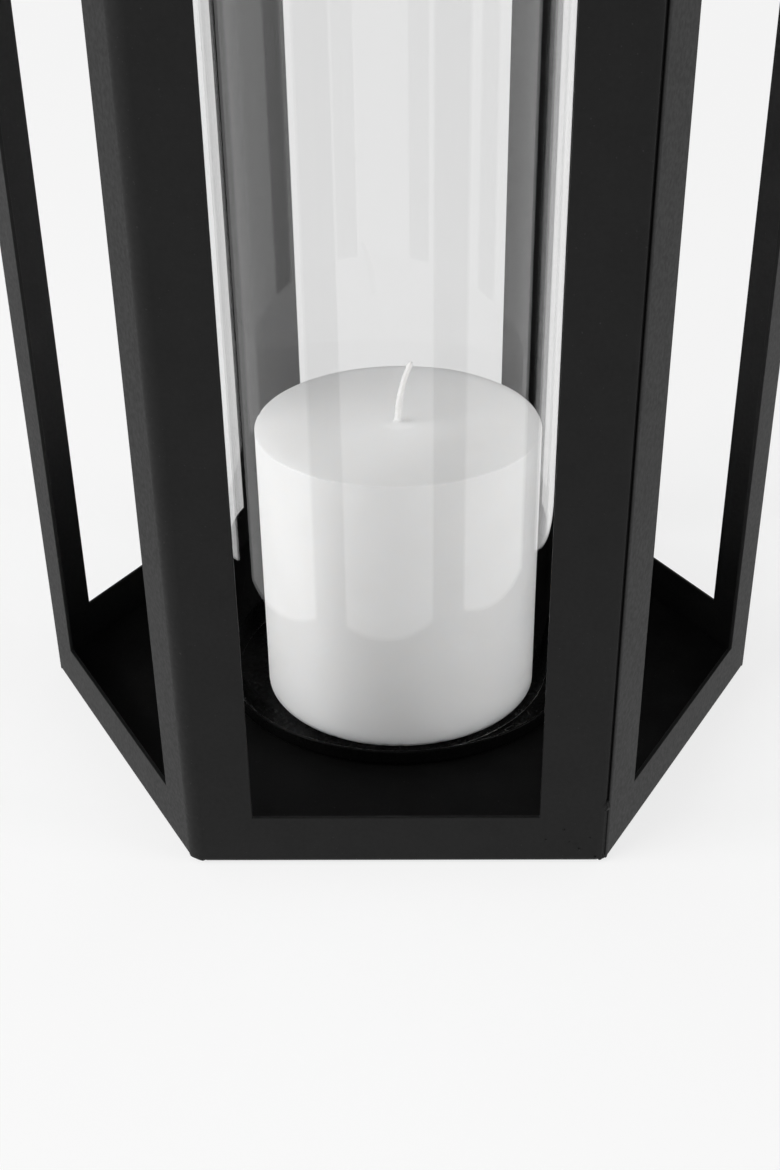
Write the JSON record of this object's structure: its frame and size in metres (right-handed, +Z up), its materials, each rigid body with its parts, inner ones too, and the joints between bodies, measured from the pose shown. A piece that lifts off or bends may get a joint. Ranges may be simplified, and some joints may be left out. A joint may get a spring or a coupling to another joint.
{
  "type": "candle lantern",
  "caption": "Hexagonal candle lantern: a folded black steel cage with open windows, a loose glass tube round a pillar candle in a shallow dish, and a swinging wire bail.",
  "frame": {"origin": "under the middle of the cage, on the surface that the pads stand on", "axes": "+Z up along the cage's axis; -Y out of the front panel; +X towards the corner that the bail leans on"},
  "size_m": [0.2037, 0.1922, 0.3064],
  "materials": {
    "black_powder_coat": "fine matt powder coat",
    "clear_glass": "clear, polished",
    "white_wax": "smooth white wax",
    "cotton_wick": "waxed braided cotton",
    "tab_steel": "bright tinned sheet",
    "spring_steel": "blackened spring steel",
    "felt": "black felt"
  },
  "bodies": {
    "cage": {"left_frame_half": "black_powder_coat", "right_frame_half": "black_powder_coat", "front_seam_weld": "black_powder_coat", "rear_seam_weld": "black_powder_coat", "base_plate": "black_powder_coat", "top_plate": "black_powder_coat", "candle_dish": "black_powder_coat", "middle_pad": "felt", "foot_pad_1": "felt", "foot_pad_2": "felt", "foot_pad_3": "felt", "foot_pad_4": "felt", "foot_pad_5": "felt", "foot_pad_6": "felt"},
    "glass": {"glass_cylinder": "clear_glass"},
    "candle": {"pillar_candle": "white_wax", "wick": "cotton_wick", "wick_tab": "tab_steel"},
    "handle": {"bail_handle": "black_powder_coat", "front_push_nut": "spring_steel", "rear_push_nut": "spring_steel"}
  },
  "joints": [
    {"name": "bail_swing", "type": "hinge", "parent": "cage", "child": "handle", "pos_m": [0, 0, 0.2931], "axis": [0, -1, 0], "range_deg": [0, 236]},
    {"name": "glass_lift", "type": "slide", "parent": "cage", "child": "glass", "axis": [0, 0, 1], "range_m": [0, 0.31]},
    {"name": "candle_lift", "type": "slide", "parent": "cage", "child": "candle", "axis": [0, 0, 1], "range_m": [0, 0.31]}
  ]
}
